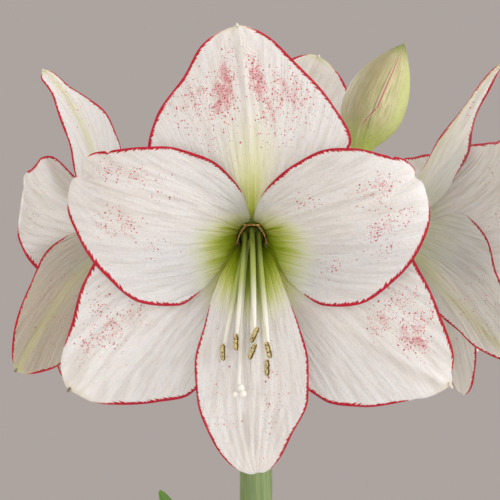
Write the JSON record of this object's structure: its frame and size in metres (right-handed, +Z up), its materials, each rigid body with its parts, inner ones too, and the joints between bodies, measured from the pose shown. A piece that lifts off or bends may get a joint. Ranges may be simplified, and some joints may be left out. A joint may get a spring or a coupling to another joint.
{
  "type": "potted amaryllis",
  "caption": "Bulb plant in flower in a plain tapered pot: a thick scape carries white, red-edged trumpet blooms and a green bud above arching strap leaves.",
  "frame": {"origin": "centre of the pot's flat underside", "axes": "+Z up along the scape, -Y towards the viewer that the front bloom faces, +X to that viewer's right"},
  "size_m": [0.3723, 0.3029, 0.6479],
  "materials": {
    "pot": "matte",
    "soil": "matte",
    "bulb": "matte",
    "scape": "satin",
    "leaf": "satin",
    "bract": "matte",
    "stalk": "satin",
    "tepal": "satin",
    "stamens": "satin",
    "pistil": "satin",
    "bud": "satin"
  },
  "bodies": {
    "root": {"pot": "pot", "soil": "soil", "bulb": "bulb", "scape": "scape", "leaf_1": "leaf", "leaf_2": "leaf", "leaf_3": "leaf", "leaf_4": "leaf", "leaf_5": "leaf", "bract_1": "bract", "bract_2": "bract", "front_stalk": "stalk", "front_sepal_top": "tepal", "front_petal_left": "tepal", "front_petal_right": "tepal", "front_sepal_left": "tepal", "front_sepal_right": "tepal", "front_petal_bottom": "tepal", "front_stamens": "stamens", "front_pistil": "pistil", "left_stalk": "stalk", "left_sepal_top": "tepal", "left_petal_left": "tepal", "left_petal_right": "tepal", "left_sepal_left": "tepal", "left_sepal_right": "tepal", "left_petal_bottom": "tepal", "left_stamens": "stamens", "left_pistil": "pistil", "right_stalk": "stalk", "right_sepal_top": "tepal", "right_petal_left": "tepal", "right_petal_right": "tepal", "right_sepal_left": "tepal", "right_sepal_right": "tepal", "right_petal_bottom": "tepal", "right_stamens": "stamens", "right_pistil": "pistil", "back_stalk": "stalk", "back_sepal_top": "tepal", "back_petal_left": "tepal", "back_petal_right": "tepal", "back_sepal_left": "tepal", "back_sepal_right": "tepal", "back_petal_bottom": "tepal", "back_stamens": "stamens", "back_pistil": "pistil", "bud_stalk": "stalk", "bud": "bud"}
  },
  "joints": []
}
